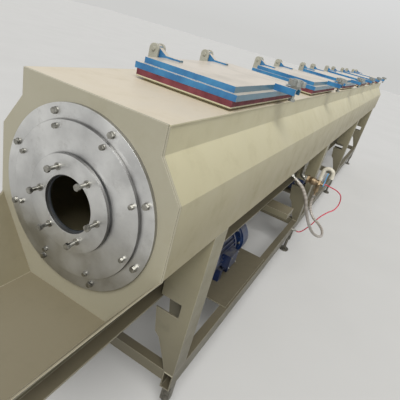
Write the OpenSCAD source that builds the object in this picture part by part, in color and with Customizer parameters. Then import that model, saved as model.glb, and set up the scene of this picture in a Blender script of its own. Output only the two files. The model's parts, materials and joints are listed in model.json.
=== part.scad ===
/* [Tank] */
// Length of the tank between its end plates
tank_len = 6000; // [4400:100:8000]
// Width of the flat top
top_w = 420; // [390:5:460]
// Width across the upright lower sides
mid_w = 554; // [510:2:620]
// Width of the tank floor
base_w = 300; // [260:5:340]
// Height from the tank floor to the top
tank_h = 575; // [545:5:640]
// Height of the short upright strip under the top edge
strip_h = 68; // [50:2:90]
// Height of the strip that slopes outwards
slope_h = 91; // [70:1:110]
// Height of the lower upright strip
side_h = 203; // [170:1:230]
// Thickness of the tank's steel sheet
sheet_t = 4; // [3:0.5:5]
// Overhang of the top sheet past the side sheets
top_lip = 3; // [1:0.5:6]
// Thickness of the two end plates
end_t = 6; // [4:1:10]
// Height of the pipe line above the floor
axis_h = 1000; // [900:10:1100]
// Height of the pipe line above the tank floor
axis_rise = 305; // [290:1:320]

/* [Sealing flange] */
// Outer radius of the flange ring
ring_r = 240; // [225:1:245]
// Thickness of the flange ring
ring_t = 10; // [6:1:14]
// Radius of the opening in the end plate and the ring
port_r = 165; // [150:1:175]
// Radius of the cover disc
disc_r = 202; // [195:1:210]
// Thickness of the cover disc
disc_t = 9; // [6:1:12]
// Radius of the opening in the cover disc
disc_hole_r = 105; // [80:1:112]
// Outer radius of the clamping ring
clamp_r = 126; // [120:1:135]
// Thickness of the clamping ring
clamp_t = 9; // [6:1:12]
// Radius of the pipe opening in the clamping ring
bore_r = 75; // [50:1:85]
// Thickness of the rubber seal
seal_t = 4; // [3:0.5:6]
// How far the rubber seal reaches inside the pipe opening
seal_reach = 5; // [2:0.5:12]
// Radius of the outer bolt circle
bolt_pc_r = 222; // [216:1:228]
// Radius of the cover disc's bolt circle
disc_pc_r = 188; // [180:1:192]
// Radius of the stud circle
stud_pc_r = 95; // [90:1:105]
// Radius of the studs
stud_r = 5; // [4:0.5:6]
// Length of the studs in front of the clamping ring
stud_len = 34; // [20:1:60]

/* [Lids] */
// Number of lids along the tank
lid_count = 6; // [6:1:6]
// Distance from the entry end to the first lid
lid_start = 300; // [260:10:380]
// Length of a lid
lid_len = 620; // [520:10:640]
// Width of a lid's seat
lid_w = 318; // [290:2:330]
// Sideways offset of the lids towards the working side
lid_offset = 46; // [40:1:48]
// Height of the neck that a lid sits on
neck_h = 12; // [8:1:20]
// Width of the seat that the gasket lies on
seat_w = 22; // [16:1:30]
// Thickness of the gasket
gasket_t = 17; // [12:1:22]
// Height of the lid's lower tier
tier_low_h = 18; // [14:1:24]
// Height of the lid's upper tier
tier_up_h = 17; // [12:1:24]
// Step between the two tiers
tier_step = 18; // [12:1:26]
// Sheet thickness of a lid
lid_t = 3; // [2:0.5:4]
// Overhang of a lid past its gasket along the tank's sides
lid_over = 9; // [4:1:10]
// Radius of the hinge pins
hinge_pin_r = 6; // [5:0.5:8]

/* [Frame] */
// Height of the upper rails
rail_h = 100; // [80:5:120]
// Width of the upper rails' flanges
rail_w = 48; // [40:1:55]
// Steel thickness of the upper rails
rail_t = 6; // [5:0.5:8]
// Number of leg frames
leg_count = 4; // [4:1:4]
// Distance from the entry end to the first leg
leg_start = 287; // [260:5:330]
// Size of a leg along the tank
leg_l = 96; // [80:2:110]
// Size of a leg across the tank
leg_w = 135; // [120:1:145]
// Steel thickness of the legs
leg_t = 5; // [4:0.5:6]
// Width of the lower tubes
tube_w = 40; // [36:2:50]
// Height of the lower tubes
tube_h = 80; // [60:2:90]
// Wall of the lower tubes
tube_t = 4; // [3:0.5:5]
// Height of the lower tubes' top, as a share of the pipe line's height
tube_share = 0.29; // [0.26:0.01:0.32]
// Radius of the foot pads
pad_r = 36; // [30:1:45]
// Length of the tray in front of the entry plate
tray_len = 330; // [250:5:350]

/* [Pumps] */
// Number of pump sets
pump_count = 2; // [2:1:2]
// Distance from the entry end to the first pump's motor
pump_start = 800; // [700:10:900]
// Distance from one pump set to the next
pump_pitch = 1800; // [1700:10:1900]
// Sideways place of the pump shafts
pump_y = -40; // [-50:5:-35]
// Height of the pump shafts above the lower tubes
shaft_rise = 142; // [132:2:152]
// Radius of a motor's body without its fins
motor_r = 92; // [80:1:96]
// Length of a motor's finned body
motor_l = 270; // [220:10:300]
// Height of the cooling fins
fin_h = 14; // [10:1:18]
// Inner radius of a pump's volute where it starts
volute_r = 92; // [84:1:100]
// How much the volute grows over one turn
volute_grow = 42; // [30:1:50]
// Width of a pump's casing
casing_w = 74; // [60:2:90]
// Radius of the pump pipes
pipe_r = 38; // [30:1:40]

/* [Drain valve] */
// Distance from the valve to the second leg
valve_back = 114; // [80:2:200]
// Sideways distance of the drop pipe from the tank's middle
drop_y = 200; // [190:5:215]
// Depth of the valve below the tank floor
valve_drop = 25; // [20:1:40]
// Length of the brass valve body
valve_l = 100; // [90:1:110]
// Radius of the valve's pipe
valve_pipe_r = 15; // [12:1:18]
// Radius of the valve's ball housing
valve_ball_r = 27; // [24:1:30]
// Length of the valve's lever
lever_l = 80; // [70:1:90]
// Radius of the clear hose
hose_r = 9; // [8:0.5:10]
// Radius of the red hose
red_r = 4; // [3:0.5:5]

/* [Hidden] */
$fn = 48;

// Heights of the tank's folds above the floor
base_z = axis_h - axis_rise;
top_z = base_z + tank_h;
fold_1_z = top_z - strip_h;
fold_2_z = fold_1_z - slope_h;
fold_3_z = fold_2_z - side_h;
chamfer_h = fold_3_z - base_z;
chamfer_dir = unit([mid_w / 2 - base_w / 2, chamfer_h]);

// Lid places
lid_pitch = (tank_len - 2 * lid_start - lid_len) / (lid_count - 1);
lid_x = [for (i = [0 : lid_count - 1]) lid_start + i * lid_pitch];
seat_z = top_z + neck_h;
lid_z = seat_z + gasket_t;
lid_run = 0.3;
hinge_back = 34;
lid_far_y = -lid_offset + lid_w / 2 + lid_over;
hinge_y = -lid_offset + lid_w / 2 + hinge_back;
lid_top_z = lid_z + tier_low_h + tier_up_h;
hinge_z = lid_top_z + 18;
hinge_at = [0.22, 0.78];
ear_t = 8;
ear_gap = 26;
ear_r = 17;
ear_foot = 5;
ear_foot_rim = 6;
pin_end = 4;
eye_t = 20;
eye_r = 14;
arm_t = 6;
arm_reach = 96;
pin_clear = 0.05;

// Lid clamps
fork_at = 0.57;
fork_out = 58;
fork_w = 70;
fork_h = 22;
fork_t = 4;
fork_slot = 26;
fork_root = 10;
knob_z = lid_z + tier_low_h + fork_h;
knob_r = 30;
knob_h = 30;
knob_in = 12;
knob_flutes = 6;
spindle_r = 6;
spindle_l = 44;

// Flange stack, measured outwards from an end plate's outer face
disc_at = ring_t;
seal_at = disc_at + disc_t;
clamp_at = seal_at + seal_t;
stack_t = clamp_at + clamp_t;
bolt_count = 8;
stud_count = 6;
bolt_af = 14;
bolt_head_h = 7;
disc_bolt_af = 11;
disc_bolt_head_h = 6;
washer_t = 2;
nut_h = 8;
nut_af = 15;
stud_turn = 4;

// Frame places
leg_pitch = (tank_len - 2 * leg_start - leg_l) / (leg_count - 1);
leg_x = [for (i = [0 : leg_count - 1]) leg_start + i * leg_pitch];
floor_z = base_z - sheet_t;
rail_low_z = floor_z - rail_h;
leg_out_y = mid_w / 2;
tube_top = axis_h * tube_share;
leg_knee = [for (k = [[142, 0.87], [161, 0.515], [182, 0.455], [220, 0.16]])
    [k[0], tube_top + k[1] * (rail_low_z - tube_top)]];
leg_foot_y = leg_out_y - tube_w;
notch_depth = 92;
notch_top = 21;
tube_y = leg_out_y - tube_w / 2;
cross_w = 40;
cross_h = 50;
deck_t = 5;
deck_rim = 30;
stub_w = 36;
stub_low_z = 110;
pad_t = 12;
screw_r = 10;
wing_low = 30;
shelf_x = leg_x[1] - 654;
shelf_l = 125;
shelf_h = 34;
shelf_out = 290;

// Pump places
shaft_z = tube_top + shaft_rise;
pump_x = [for (i = [0 : pump_count - 1]) pump_start + i * pump_pitch];
deck_z = tube_top + deck_t;
fin_count = 30;
fin_t = 3;
fin_root = 3;
box_l = 96;
box_w = 50;
box_h = 72;
box_at = 0.42;
foot_l = 34;
foot_w = 52;
foot_y = 84;
foot_under = 66;
shield_l = 26;
cowl_l = 70;
cowl_r = motor_r + fin_h + 2;
bracket_l = 60;
flange_r = pipe_r + 27;
seat_clear = 4;
flange_t = 12;
volute_lip = 18;
nozzle_l = 34;
nozzle_t = 6;
pump_shaft_r = 14;
lantern_open = 60;
lantern_rim = 12;
pedestal_l = 60;
pedestal_w = 90;
bend_r = 78;
bend_at = 40;
casing_at = motor_l + shield_l + bracket_l;
discharge_y = volute_r + volute_grow / 2 - pipe_r;
discharge_top = volute_r + volute_grow + 30;

// Valve places
valve_x = leg_x[1] - valve_back;
valve_z = base_z - valve_drop;
drop_bend = 30;
bush_l = 14;
valve_in_y = -drop_y - drop_bend - bush_l;
valve_out_y = valve_in_y - valve_l;
tail_y = valve_out_y + 14;
tail_z = valve_z - 88;
vent_r = 13;
vent_bend = 33;
vent_y = valve_out_y + 15;
vent_seat = valve_pipe_r * 1.5 + 3;
lever_t = 5;
lever_w = 18;
stem_l = 20;
stem_r = 4;
lever_y = valve_out_y - stem_l;
elbow_h = 50;
elbow_nut_h = 24;
vent_out_y = vent_y - 2 * vent_bend - vent_r - 3;

// Hose places: the clear hose goes back to the chamfer, the red one to the lower tube
wall_normal = [0, -chamfer_dir[1], -chamfer_dir[0]];
nipple_x = valve_x - 710;
nipple_l = 24;
nipple_z = fold_3_z - 30;
nipple_y = -mid_w / 2 + (fold_3_z - nipple_z) * chamfer_dir[0] / chamfer_dir[1];
nipple_end = [nipple_x, nipple_y, nipple_z] + nipple_l * wall_normal;
red_x = valve_x + 27;
red_end_x = red_x + 12;
red_end_z = tube_top - tube_h / 2;
red_port_l = 20;
red_port_y = valve_out_y + 12;
red_nipple_l = 22;

// The whole machine is set so that its box stands centred on the origin
reach_front = tray_len;
reach_back = tank_len + end_t + stack_t + stud_len;
reach_far = max(leg_out_y, tube_y + pad_r);
reach_near = max(-vent_out_y, leg_out_y);
centre = [(reach_back - reach_front) / 2, (reach_far - reach_near) / 2, 0];

module place() {
    translate(-centre) children();
}

// Mitred ribbon along an open outline, its thickness on the left of the path
function unit(v) = v / norm(v);
function left_of(a, b) = let (d = unit(b - a)) [-d[1], d[0]];
function mitre(p, i) =
    i == 0 ? left_of(p[0], p[1]) :
    i == len(p) - 1 ? left_of(p[i - 1], p[i]) :
    let (m = left_of(p[i - 1], p[i]), n = left_of(p[i], p[i + 1])) (m + n) / (1 + m * n);
function ribbon(p, t) = concat(p, [for (i = [len(p) - 1 : -1 : 0]) p[i] + t * mitre(p, i)]);

// Extrudes an outline drawn in the Y-Z plane along the tank
module along_x(x0, x1) {
    translate([x0, 0, 0]) rotate([90, 0, 90]) linear_extrude(x1 - x0) children();
}

// Cross-section of the tank, from its top edge down to its floor
function half_outline(s) = [
    [s * top_w / 2, top_z - sheet_t],
    [s * top_w / 2, fold_1_z],
    [s * mid_w / 2, fold_2_z],
    [s * mid_w / 2, fold_3_z],
    [s * base_w / 2, base_z]];
chamfer_skin = sheet_t / chamfer_dir[1];
near_path = half_outline(-1);
near_skin = ribbon(near_path, sheet_t);
// The lowest inner corner is cut level, so that it seats on the floor sheet
near_sheet = [for (i = [0 : len(near_skin) - 1])
    i == len(near_path) ? [near_path[len(near_path) - 1][0] + chamfer_skin, base_z] : near_skin[i]];

module tank_side(x0, x1) {
    along_x(x0, x1) polygon(near_sheet);
}

module tank_side_near() {
    color("#d8cfae") place() tank_side(0, tank_len);
}

module tank_side_far() {
    color("#d8cfae") place() mirror([0, 1, 0]) tank_side(0, tank_len);
}

module tank_floor() {
    color("#d8cfae") place() along_x(0, tank_len)
        translate([-base_w / 2, floor_z]) square([base_w, sheet_t]);
}

// Rectangular ring with its hole, lying flat
module flat_ring(l, w, rim, h) {
    difference() {
        cube([l, w, h]);
        translate([rim, rim, -1]) cube([l - 2 * rim, w - 2 * rim, h + 2]);
    }
}

module lid_corner(i) {
    translate([lid_x[i], -lid_offset - lid_w / 2, 0]) children();
}

module tank_top() {
    color("#ded6bb") place() difference() {
        union() {
            translate([0, -top_w / 2 - top_lip, top_z - sheet_t])
                cube([tank_len, top_w + 2 * top_lip, sheet_t]);
            for (i = [0 : lid_count - 1]) lid_corner(i) {
                translate([seat_w - sheet_t, seat_w - sheet_t, top_z])
                    cube([lid_len - 2 * (seat_w - sheet_t), lid_w - 2 * (seat_w - sheet_t), neck_h]);
                translate([0, 0, seat_z - sheet_t]) cube([lid_len, lid_w, sheet_t]);
            }
        }
        for (i = [0 : lid_count - 1]) lid_corner(i)
            translate([seat_w, seat_w, top_z - 2 * sheet_t])
                cube([lid_len - 2 * seat_w, lid_w - 2 * seat_w, neck_h + 3 * sheet_t]);
    }
}

module end_outline() {
    polygon(concat(
        [[-base_w / 2, floor_z]],
        [for (i = [4 : -1 : 1]) half_outline(-1)[i]],
        [[-top_w / 2, top_z], [top_w / 2, top_z]],
        [for (i = [1 : 4]) half_outline(1)[i]],
        [[base_w / 2, floor_z]]));
}

module end_plate() {
    difference() {
        along_x(-end_t, 0) end_outline();
        translate([-end_t - 1, 0, axis_h]) rotate([0, 90, 0]) cylinder(r = port_r, h = end_t + 2);
    }
}

// Puts a piece of the entry end on the exit end, facing the other way
module at_exit() {
    translate([tank_len, 0, 0]) mirror([1, 0, 0]) children();
}

module entry_plate() {
    color("#d8cfae") place() end_plate();
}

module exit_plate() {
    color("#d8cfae") place() at_exit() end_plate();
}

// Disc with a hole on the pipe line, lying from at to at + t in front of the end plate
module washer(r, hole_r, at, t) {
    translate([-end_t - at - t, 0, axis_h]) rotate([0, 90, 0]) difference() {
        cylinder(r = r, h = t, $fn = 96);
        translate([0, 0, -1]) cylinder(r = hole_r, h = t + 2, $fn = 96);
    }
}

module ring() {
    washer(ring_r, port_r, 0, ring_t);
}

module disc() {
    washer(disc_r, disc_hole_r, disc_at, disc_t);
}

module seal() {
    washer(clamp_r - 4, bore_r - seal_reach, seal_at, seal_t);
}

module clamp_ring() {
    washer(clamp_r, bore_r, clamp_at, clamp_t);
}

// Copies a piece round the pipe line, the first one half a step from the top
module round_axis(count, r, at, turn = 0) {
    for (i = [0 : count - 1]) translate([-end_t - at, 0, axis_h])
        rotate([(i + 0.5) * 360 / count + turn, 0, 0]) translate([0, 0, r]) rotate([0, -90, 0]) children();
}

module hex_bolt(af, head_h) {
    cylinder(r = af * 0.62, h = washer_t);
    translate([0, 0, washer_t]) cylinder(r = af / sqrt(3), h = head_h, $fn = 6);
}

module bolts() {
    round_axis(bolt_count, bolt_pc_r, ring_t) hex_bolt(bolt_af, bolt_head_h);
    round_axis(bolt_count, disc_pc_r, seal_at) hex_bolt(disc_bolt_af, disc_bolt_head_h);
}

module studs() {
    round_axis(stud_count, stud_pc_r, stack_t, stud_turn) {
        cylinder(r = nut_af * 0.62, h = washer_t);
        cylinder(r = stud_r, h = stud_len);
        translate([0, 0, stud_len - nut_h]) cylinder(r = nut_af / sqrt(3), h = nut_h, $fn = 6);
    }
}

module entry_ring() { color("silver") place() ring(); }
module entry_disc() { color("silver") place() disc(); }
module entry_clamp_ring() { color("lightgrey") place() clamp_ring(); }
module entry_seal() { color("#30302e") place() seal(); }
module entry_bolts() { color("grey") place() bolts(); }
module entry_studs() { color("grey") place() studs(); }
module exit_ring() { color("silver") place() at_exit() ring(); }
module exit_disc() { color("silver") place() at_exit() disc(); }
module exit_clamp_ring() { color("lightgrey") place() at_exit() clamp_ring(); }
module exit_seal() { color("#30302e") place() at_exit() seal(); }
module exit_bolts() { color("grey") place() at_exit() bolts(); }
module exit_studs() { color("grey") place() at_exit() studs(); }

module lid_gaskets() {
    color("#8c3b3f") place() for (i = [0 : lid_count - 1]) lid_corner(i)
        translate([0, 0, seat_z]) flat_ring(lid_len, lid_w, seat_w, gasket_t - lid_run);
}

// Pair of upright ears that carry a lid's pin
module hinge_post() {
    for (s = [-1, 1]) translate([s * (ear_gap + ear_t) / 2 - ear_t / 2, 0, 0]) {
        translate([0, hinge_y, hinge_z]) rotate([0, 90, 0]) cylinder(r = ear_r, h = ear_t);
        translate([0, hinge_y - ear_r, top_z]) cube([ear_t, 2 * ear_r, hinge_z - top_z]);
    }
    translate([-ear_gap / 2 - ear_t - ear_foot_rim, hinge_y - ear_r - ear_foot_rim, top_z])
        cube([ear_gap + 2 * (ear_t + ear_foot_rim), 2 * (ear_r + ear_foot_rim), ear_foot]);
    translate([-ear_gap / 2 - ear_t - pin_end, hinge_y, hinge_z]) rotate([0, 90, 0])
        cylinder(r = hinge_pin_r, h = ear_gap + 2 * (ear_t + pin_end));
}

module hinge_posts() {
    color("#b9b39a") place() for (i = [0 : lid_count - 1], f = hinge_at)
        translate([lid_x[i] + f * lid_len, 0, 0]) hinge_post();
}

// One tier of a lid: a folded pan, open below
module pan(l, w, h) {
    difference() {
        cube([l, w, h]);
        translate([lid_t, lid_t, -1]) cube([l - 2 * lid_t, w - 2 * lid_t, h - lid_t + 1]);
    }
}

module lid_arm() {
    difference() {
        union() {
            translate([-eye_t / 2, hinge_y, hinge_z]) rotate([0, 90, 0]) cylinder(r = eye_r, h = eye_t);
            along_x(-eye_t / 2, eye_t / 2) polygon([
                [hinge_y - arm_reach, lid_top_z], [lid_far_y - tier_step, lid_top_z],
                [lid_far_y - tier_step, lid_top_z - tier_up_h], [lid_far_y, lid_top_z - tier_up_h],
                [hinge_y, hinge_z - eye_r], [hinge_y, hinge_z + eye_r],
                [lid_far_y - tier_step, lid_top_z + arm_t], [hinge_y - arm_reach, lid_top_z + arm_t]]);
        }
        translate([-eye_t, hinge_y, hinge_z]) rotate([0, 90, 0])
            cylinder(r = hinge_pin_r + pin_clear, h = 2 * eye_t);
    }
}

// Forked clamp plate on the lid's lower tier, open towards the working side
module lid_fork() {
    translate([fork_at * lid_len, -lid_over - fork_out, tier_low_h]) difference() {
        cube([fork_w, fork_out + tier_step, fork_h]);
        translate([(fork_w - fork_slot) / 2, -1, -1]) cube([fork_slot, fork_out - fork_root, fork_h + 2]);
        translate([fork_t, -1, -1])
            cube([fork_w - 2 * fork_t, fork_out + tier_step + 2, fork_h - fork_t + 1]);
    }
}

module lid(i) {
    color("#3f7fb5") place() {
        lid_corner(i) translate([0, 0, lid_z]) {
            difference() {
                union() {
                    translate([0, -lid_over, 0]) pan(lid_len, lid_w + 2 * lid_over, tier_low_h);
                    translate([tier_step, tier_step - lid_over, tier_low_h])
                        pan(lid_len - 2 * tier_step, lid_w + 2 * lid_over - 2 * tier_step, tier_up_h);
                }
                translate([tier_step + lid_t, tier_step - lid_over + lid_t, tier_low_h - lid_t - 1])
                    cube([lid_len - 2 * (tier_step + lid_t),
                        lid_w + 2 * lid_over - 2 * (tier_step + lid_t), tier_up_h]);
            }
            lid_fork();
        }
        for (f = hinge_at) translate([lid_x[i] + f * lid_len, 0, 0]) lid_arm();
    }
}

// Fluted hand knob on the fork, its spindle hanging through the slot with a nut at its end
module lid_knob(i) {
    color("#8a8d8c") place() lid_corner(i)
        translate([fork_at * lid_len + fork_w / 2, -lid_over - fork_out + knob_in, knob_z]) {
            difference() {
                union() {
                    cylinder(r = knob_r * 0.55, h = knob_h);
                    translate([0, 0, knob_h * 0.3]) cylinder(r = knob_r, h = knob_h * 0.6);
                }
                for (k = [0 : knob_flutes - 1]) rotate(k * 360 / knob_flutes)
                    translate([knob_r * 1.15, 0, -1]) cylinder(r = knob_r * 0.3, h = knob_h + 2, $fn = 24);
            }
            translate([0, 0, -spindle_l]) cylinder(r = spindle_r, h = spindle_l);
            translate([0, 0, -spindle_l]) cylinder(r = spindle_r * 2, h = nut_h, $fn = 6);
        }
}

module lid_1() { lid(0); }
module lid_2() { lid(1); }
module lid_3() { lid(2); }
module lid_4() { lid(3); }
module lid_5() { lid(4); }
module lid_6() { lid(5); }
module lid_1_knob() { lid_knob(0); }
module lid_2_knob() { lid_knob(1); }
module lid_3_knob() { lid_knob(2); }
module lid_4_knob() { lid_knob(3); }
module lid_5_knob() { lid_knob(4); }
module lid_6_knob() { lid_knob(5); }

// Wing of the tray: the chamfer sheet carried on past the end plate, cut down towards its front
module wing() {
    intersection() {
        along_x(-tray_len, -end_t) polygon([
            near_path[3], near_path[4],
            [near_path[4][0] + chamfer_skin, base_z], [near_path[3][0] + chamfer_skin, fold_3_z]]);
        translate([0, mid_w, 0]) rotate([90, 0, 0]) linear_extrude(2 * mid_w)
            polygon([[-tray_len, base_z], [-end_t, base_z], [-end_t, fold_3_z],
                [-tray_len, base_z + wing_low]]);
    }
}

module tray() {
    color("#d8cfae") place() {
        along_x(-tray_len, -end_t) translate([-base_w / 2, floor_z]) square([base_w, sheet_t]);
        wing();
        mirror([0, 1, 0]) wing();
    }
}

// Channel rail under the tank floor, its open side outwards
module rail() {
    along_x(-tray_len, tank_len) translate([-base_w / 2, rail_low_z]) difference() {
        square([rail_w, rail_h]);
        translate([-1, rail_t]) square([rail_w - rail_t + 1, rail_h - 2 * rail_t]);
    }
}

module rail_near() { color("#cfc6a6") place() rail(); }
module rail_far() { color("#cfc6a6") place() mirror([0, 1, 0]) rail(); }

// Leg: a folded channel, open inwards, that hugs the tank's lower chamfer and the rail
module leg_flange() {
    difference() {
        polygon(concat([
            [-leg_out_y, tube_top], [-leg_out_y, fold_3_z], [-base_w / 2, base_z],
            [-base_w / 2, rail_low_z]],
            [for (p = leg_knee) [-p[0], p[1]]],
            [[-leg_foot_y, tube_top]]));
        translate([-leg_out_y + leg_w - notch_depth, leg_knee[0][1]])
            square([notch_depth + leg_w, rail_low_z + notch_top - leg_knee[0][1]]);
    }
}

module leg() {
    along_x(0, leg_t) leg_flange();
    along_x(leg_l - leg_t, leg_l) leg_flange();
    along_x(leg_t, leg_l - leg_t) polygon([
        [-leg_out_y, tube_top], [-leg_out_y, fold_3_z],
        [-leg_out_y + leg_t, fold_3_z - leg_t / chamfer_dir[0] * chamfer_dir[1]],
        [-leg_out_y + leg_t, tube_top]]);
}

module legs() {
    for (x = leg_x) translate([x, 0, 0]) leg();
}

module legs_near() { color("#c9c0a0") place() legs(); }
module legs_far() { color("#c9c0a0") place() mirror([0, 1, 0]) legs(); }

module tube(x0, x1) {
    along_x(x0, x1) translate([-leg_out_y, tube_top - tube_h]) difference() {
        square([tube_w, tube_h]);
        translate([tube_t, tube_t]) square([tube_w - 2 * tube_t, tube_h - 2 * tube_t]);
    }
}

module tube_near() { color("#cfc6a6") place() tube(leg_start, tank_len - leg_start); }
module tube_far() { color("#cfc6a6") place() mirror([0, 1, 0]) tube(leg_start, tank_len - leg_start); }

module cross_tubes() {
    color("#c9c0a0") place() for (x = leg_x)
        translate([x + leg_t, -leg_foot_y, tube_top - cross_h]) difference() {
            cube([cross_w, 2 * leg_foot_y, cross_h]);
            translate([tube_t, -1, tube_t])
                cube([cross_w - 2 * tube_t, 2 * leg_foot_y + 2, cross_h - 2 * tube_t]);
        }
}

// Plates across the lower tubes that carry the pump sets
module deck_plates() {
    color("#b9b196") place() for (x = pump_x)
        translate([x - deck_rim, -leg_out_y + tube_w / 4, tube_top])
            cube([casing_at + casing_w + 130, 2 * leg_out_y - tube_w / 2, deck_t]);
}

module foot() {
    cylinder(r = pad_r, h = pad_t);
    cylinder(r = screw_r, h = stub_low_z + 1);
    translate([-stub_w / 2, -stub_w / 2, stub_low_z])
        cube([stub_w, stub_w, tube_top - tube_h - stub_low_z]);
}

module feet() {
    color("#8d8a7c") place() for (x = leg_x, s = [-1, 1])
        translate([x + leg_l / 2, s * tube_y, 0]) foot();
}

// Puts a piece on a pump set's shaft, its local Z along the tank
module on_shaft(i, at) {
    translate([pump_x[i] + at, pump_y, shaft_z]) rotate([90, 0, 90]) children();
}

module motor(i) {
    on_shaft(i, 0) {
        rotate_extrude() polygon([
            [0, 0], [motor_r * 0.55, 0], [cowl_r - 10, 4], [cowl_r - 3, 9], [cowl_r, 18],
            [cowl_r, cowl_l], [motor_r, cowl_l], [motor_r, motor_l], [motor_r + 8, motor_l],
            [motor_r + 8, motor_l + 12], [motor_r * 0.8, motor_l + shield_l], [0, motor_l + shield_l]]);
        for (k = [0 : fin_count - 1]) rotate(k * 360 / fin_count)
            translate([motor_r - fin_root, -fin_t / 2, cowl_l])
                cube([fin_h + fin_root, fin_t, motor_l - cowl_l - fin_h]);
    }
    // Terminal box on the near side and two feet on the deck plate
    translate([pump_x[i] + motor_l * box_at, pump_y - motor_r - box_w + 4, shaft_z - box_h / 2])
        cube([box_l, box_w, box_h]);
    for (u = [box_at, 2 * box_at], s = [-1, 1])
        translate([pump_x[i] + motor_l * u, pump_y + s * foot_y - foot_w / 2, deck_z])
            cube([foot_l, foot_w, shaft_z - deck_z - foot_under]);
}

module pump_1_motor() { color("#20366e") place() motor(0); }
module pump_2_motor() { color("#20366e") place() motor(1); }

// Outline of the volute: a spiral that grows over one turn and runs out into the discharge
function spiral(r0, grow) = [for (a = [0 : 10 : 360]) (r0 + grow * a / 360) * [cos(a), sin(a)]];

module casing(i) {
    on_shaft(i, casing_at) {
        difference() {
            union() {
                linear_extrude(casing_w) polygon(spiral(volute_r, volute_grow));
                translate([0, 0, -volute_lip]) cylinder(r = volute_r + 10, h = volute_lip);
                translate([0, 0, casing_w]) cylinder(r = pipe_r, h = nozzle_l);
                translate([0, 0, casing_w + nozzle_l - flange_t]) cylinder(r = flange_r, h = flange_t);
                translate([discharge_y, 0, casing_w / 2]) rotate([-90, 0, 0])
                    cylinder(r = pipe_r - 2, h = discharge_top);
                translate([discharge_y, discharge_top - flange_t, casing_w / 2]) rotate([-90, 0, 0])
                    cylinder(r = flange_r, h = flange_t);
            }
            translate([0, 0, casing_w - 10]) cylinder(r = pipe_r - nozzle_t, h = nozzle_l + 11);
            translate([discharge_y, volute_r, casing_w / 2]) rotate([-90, 0, 0])
                cylinder(r = pipe_r - nozzle_t, h = discharge_top);
            for (k = [0 : 7]) rotate(k * 45 + 22.5)
                translate([volute_r + 1, 0, -volute_lip - 1]) cylinder(r = 5, h = 8, $fn = 16);
        }
        // Lantern between motor and casing, open at its sides
        difference() {
            translate([0, 0, -bracket_l]) cylinder(r = motor_r * 0.8, h = bracket_l - volute_lip);
            for (s = [0, 90]) rotate(s) translate([-motor_r, -lantern_open / 2, -bracket_l + lantern_rim])
                cube([2 * motor_r, lantern_open, bracket_l - volute_lip - 8 - lantern_rim]);
        }
        translate([0, 0, -bracket_l]) cylinder(r = pump_shaft_r, h = bracket_l);
    }
    translate([pump_x[i] + casing_at + casing_w / 2 - pedestal_l / 2, pump_y - pedestal_w / 2, deck_z])
        cube([pedestal_l, pedestal_w, shaft_z - deck_z - volute_r + 8]);
}

module pump_1_casing() { color("#24407c") place() casing(0); }
module pump_2_casing() { color("#24407c") place() casing(1); }

// Flange under the tank floor, kept clear of the upper rails
module floor_flange(y) {
    translate([0, 0, -flange_t])
        cylinder(r = min(flange_r, base_w / 2 - rail_w - abs(y) - seat_clear), h = flange_t);
}

// Riser from the discharge and bend from the suction, both up to the tank floor
module pump_pipe(i) {
    riser_z = shaft_z + discharge_top;
    translate([pump_x[i] + casing_at + casing_w / 2, pump_y + discharge_y, 0]) {
        translate([0, 0, riser_z]) cylinder(r = flange_r, h = flange_t);
        translate([0, 0, riser_z + flange_t]) cylinder(r = pipe_r, h = floor_z - riser_z - flange_t);
        translate([0, 0, floor_z]) floor_flange(pump_y + discharge_y);
    }
    translate([pump_x[i] + casing_at + casing_w + nozzle_l, pump_y, shaft_z]) {
        rotate([0, 90, 0]) cylinder(r = flange_r, h = flange_t);
        rotate([0, 90, 0]) cylinder(r = pipe_r, h = bend_at);
        translate([bend_at, 0, bend_r]) rotate([90, 0, 0]) rotate([0, 0, -90])
            rotate_extrude(angle = 90) translate([bend_r, 0]) circle(r = pipe_r);
        translate([bend_at + bend_r, 0, bend_r]) cylinder(r = pipe_r, h = floor_z - shaft_z - bend_r);
        translate([bend_at + bend_r, 0, floor_z - shaft_z]) floor_flange(pump_y);
    }
}

module pump_pipes() {
    color("#a9adae") place() for (i = [0 : pump_count - 1]) pump_pipe(i);
}

// Shelf under the upper rail that reaches out beside the tank, folded down at its edges
module side_shelf() {
    color("#bfb899") place() translate([shelf_x, -shelf_out, rail_low_z - shelf_h]) difference() {
        cube([shelf_l, shelf_out - base_w / 2 + rail_w, shelf_h]);
        translate([sheet_t, sheet_t, -1])
            cube([shelf_l - 2 * sheet_t, shelf_out, shelf_h - sheet_t + 1]);
    }
}

// Drop pipe from the tank's chamfer to the valve, and the nipples that the hoses are pushed on
module nipple(r, l) {
    cylinder(r = r + 5, h = 9, $fn = 6);
    cylinder(r = r, h = l);
}

module valve_pipe() {
    wall_z = base_z + (drop_y - base_w / 2) * chamfer_dir[1] / chamfer_dir[0];
    color("#b9bab6") place() {
        difference() {
            translate([valve_x, -drop_y, valve_z + drop_bend]) cylinder(r = valve_pipe_r, h = chamfer_h);
            translate([valve_x - 50, 0, 0]) along_x(0, 100) polygon([
                near_path[3], near_path[4], [0, base_z], [0, fold_2_z], [-mid_w / 2, fold_2_z]]);
        }
        translate([valve_x, -drop_y - drop_bend, valve_z + drop_bend]) rotate([90, 0, 90])
            rotate([0, 0, -90]) rotate_extrude(angle = 90) translate([drop_bend, 0]) circle(r = valve_pipe_r);
        translate([valve_x, -drop_y - drop_bend, valve_z]) rotate([90, 0, 0])
            cylinder(r = valve_pipe_r * 1.7, h = bush_l, $fn = 6);
        translate([nipple_x, nipple_y, nipple_z]) rotate([90 + atan2(chamfer_dir[0], chamfer_dir[1]), 0, 0])
            nipple(hose_r - 2, nipple_l);
        translate([red_end_x, -leg_out_y, red_end_z]) rotate([90, 0, 0]) nipple(red_r + 3, red_nipple_l);
    }
}

// Puts a piece on the valve's pipe, its local Z pointing away from the tank
module on_valve(y) {
    translate([valve_x, y, valve_z]) rotate([90, 0, 0]) children();
}

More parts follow.
